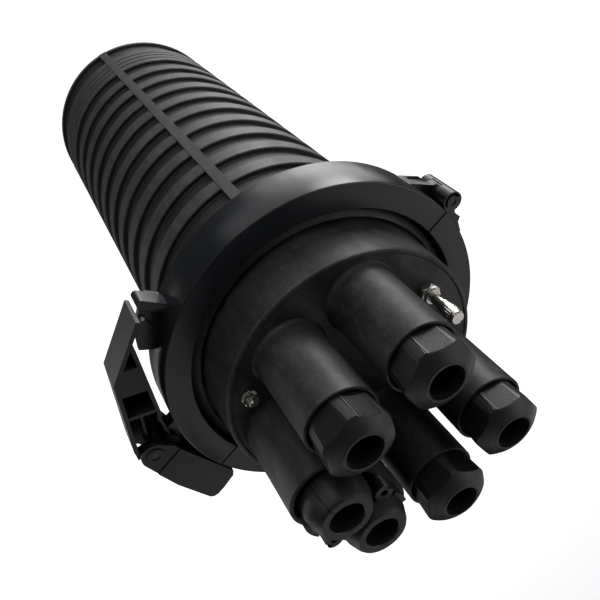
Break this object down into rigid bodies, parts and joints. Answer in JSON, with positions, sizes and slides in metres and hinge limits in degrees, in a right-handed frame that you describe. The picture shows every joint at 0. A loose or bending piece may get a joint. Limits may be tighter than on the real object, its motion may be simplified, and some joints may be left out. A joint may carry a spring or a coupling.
{
  "type": "fibre splice closure",
  "caption": "Dome splice closure: ribbed cylindrical dome, hinged clamp ring with over-centre lever, tubular cable ports with gland nuts, gas valve and earth stud.",
  "frame": {"origin": "centre of the dome's closed end, on the plane it stands on", "axes": "+Z along the dome's axis towards the cable ports, +Y towards the clamp's hinge and the gas valve, -Y towards the clamp's catch and the oval port"},
  "size_m": [0.2525, 0.283, 0.602],
  "materials": {
    "housing": "moulded, matte, cloudy",
    "clamp": "moulded, satin",
    "lever": "moulded, satin",
    "gland": "moulded, satin",
    "gland_inner": "moulded, matte",
    "plug": "matte",
    "seal": "matte",
    "steel": "plain",
    "nickel": "nickel plated, bright",
    "sheet": "satin",
    "tray": "moulded, matte",
    "lid": "clear film look"
  },
  "bodies": {
    "root": {"dome": "housing", "base": "housing", "dome_seal": "seal", "clamp_half_a": "clamp", "hinge_pin": "steel", "fulcrum_pin": "steel", "lock_screw": "steel", "seal_a": "seal", "seal_b": "seal", "seal_c": "seal", "seal_d": "seal", "plug_a": "plug", "plug_b": "plug", "plug_c": "plug", "plug_d": "plug", "plug_e": "plug", "plug_f": "plug", "oval_seal": "seal", "oval_plate": "gland_inner", "split_nut_e_outer": "gland", "split_nut_e_inner": "gland", "split_nut_f_outer": "gland", "split_nut_f_inner": "gland", "gas_valve": "nickel", "valve_nut": "nickel", "valve_washer": "nickel", "valve_seal": "seal", "valve_cap": "nickel", "earth_stud": "nickel", "earth_nuts": "nickel", "earth_washers": "nickel", "tray_frame": "sheet", "frame_screws": "steel", "hinge_block": "tray", "block_screws": "steel", "slack_basket": "tray", "basket_screws": "steel", "splice_tray_1": "tray", "splice_tray_2": "tray", "splice_tray_3": "tray", "tray_lid": "lid", "anchor_clamps": "sheet", "anchor_screws": "steel"},
    "half_b": {"clamp_half_b": "clamp"},
    "handle": {"latch_handle": "lever"},
    "link": {"latch_link": "lever", "link_pin": "steel", "hook_pin": "steel"},
    "ring_a": {"thrust_ring_a": "gland_inner"},
    "nut_a": {"nut_a": "gland"},
    "ring_b": {"thrust_ring_b": "gland_inner"},
    "nut_b": {"nut_b": "gland"},
    "ring_c": {"thrust_ring_c": "gland_inner"},
    "nut_c": {"nut_c": "gland"},
    "ring_d": {"thrust_ring_d": "gland_inner"},
    "nut_d": {"nut_d": "gland"}
  },
  "joints": [
    {"name": "clamp_hinge", "type": "hinge", "parent": "root", "child": "half_b", "pos_m": [0, 0.128, 0.457], "axis": [0, 0, 1], "range_deg": [0, 3.7]},
    {"name": "lever_hinge", "type": "hinge", "parent": "root", "child": "handle", "pos_m": [-0.043, -0.122, 0.457], "axis": [0, 0, 1], "range_deg": [0, 75]},
    {"name": "link_hinge", "type": "hinge", "parent": "handle", "child": "link", "pos_m": [-0.051, -0.1335, 0.457], "axis": [0, 0, 1], "range_deg": [-75, 0]},
    {"name": "ring_slide_a", "type": "slide", "parent": "root", "child": "ring_a", "axis": [0, 0, 1], "range_m": [0, 0.00805]},
    {"name": "nut_turn_a", "type": "hinge", "parent": "ring_a", "child": "nut_a", "pos_m": [-0.0554, -0.0133, 0.58], "axis": [0, 0, 1], "range_deg": [0, 720]},
    {"name": "ring_slide_b", "type": "slide", "parent": "root", "child": "ring_b", "axis": [0, 0, 1], "range_m": [0, 0.00805]},
    {"name": "nut_turn_b", "type": "hinge", "parent": "ring_b", "child": "nut_b", "pos_m": [-0.0416, 0.0413, 0.58], "axis": [0, 0, 1], "range_deg": [0, 720]},
    {"name": "ring_slide_c", "type": "slide", "parent": "root", "child": "ring_c", "axis": [0, 0, 1], "range_m": [0, 0.00805]},
    {"name": "nut_turn_c", "type": "hinge", "parent": "ring_c", "child": "nut_c", "pos_m": [0.0416, 0.0413, 0.58], "axis": [0, 0, 1], "range_deg": [0, 720]},
    {"name": "ring_slide_d", "type": "slide", "parent": "root", "child": "ring_d", "axis": [0, 0, 1], "range_m": [0, 0.00805]},
    {"name": "nut_turn_d", "type": "hinge", "parent": "ring_d", "child": "nut_d", "pos_m": [0.0554, -0.0133, 0.58], "axis": [0, 0, 1], "range_deg": [0, 720]}
  ],
  "couplings": [
    {"joint": "lever_hinge", "follows": "clamp_hinge", "ratio": 20.1},
    {"joint": "link_hinge", "follows": "clamp_hinge", "ratio": -20.1},
    {"joint": "ring_slide_a", "follows": "nut_turn_a", "m_per_rad": 0.0006366},
    {"joint": "ring_slide_b", "follows": "nut_turn_b", "m_per_rad": 0.0006366},
    {"joint": "ring_slide_c", "follows": "nut_turn_c", "m_per_rad": 0.0006366},
    {"joint": "ring_slide_d", "follows": "nut_turn_d", "m_per_rad": 0.0006366}
  ]
}
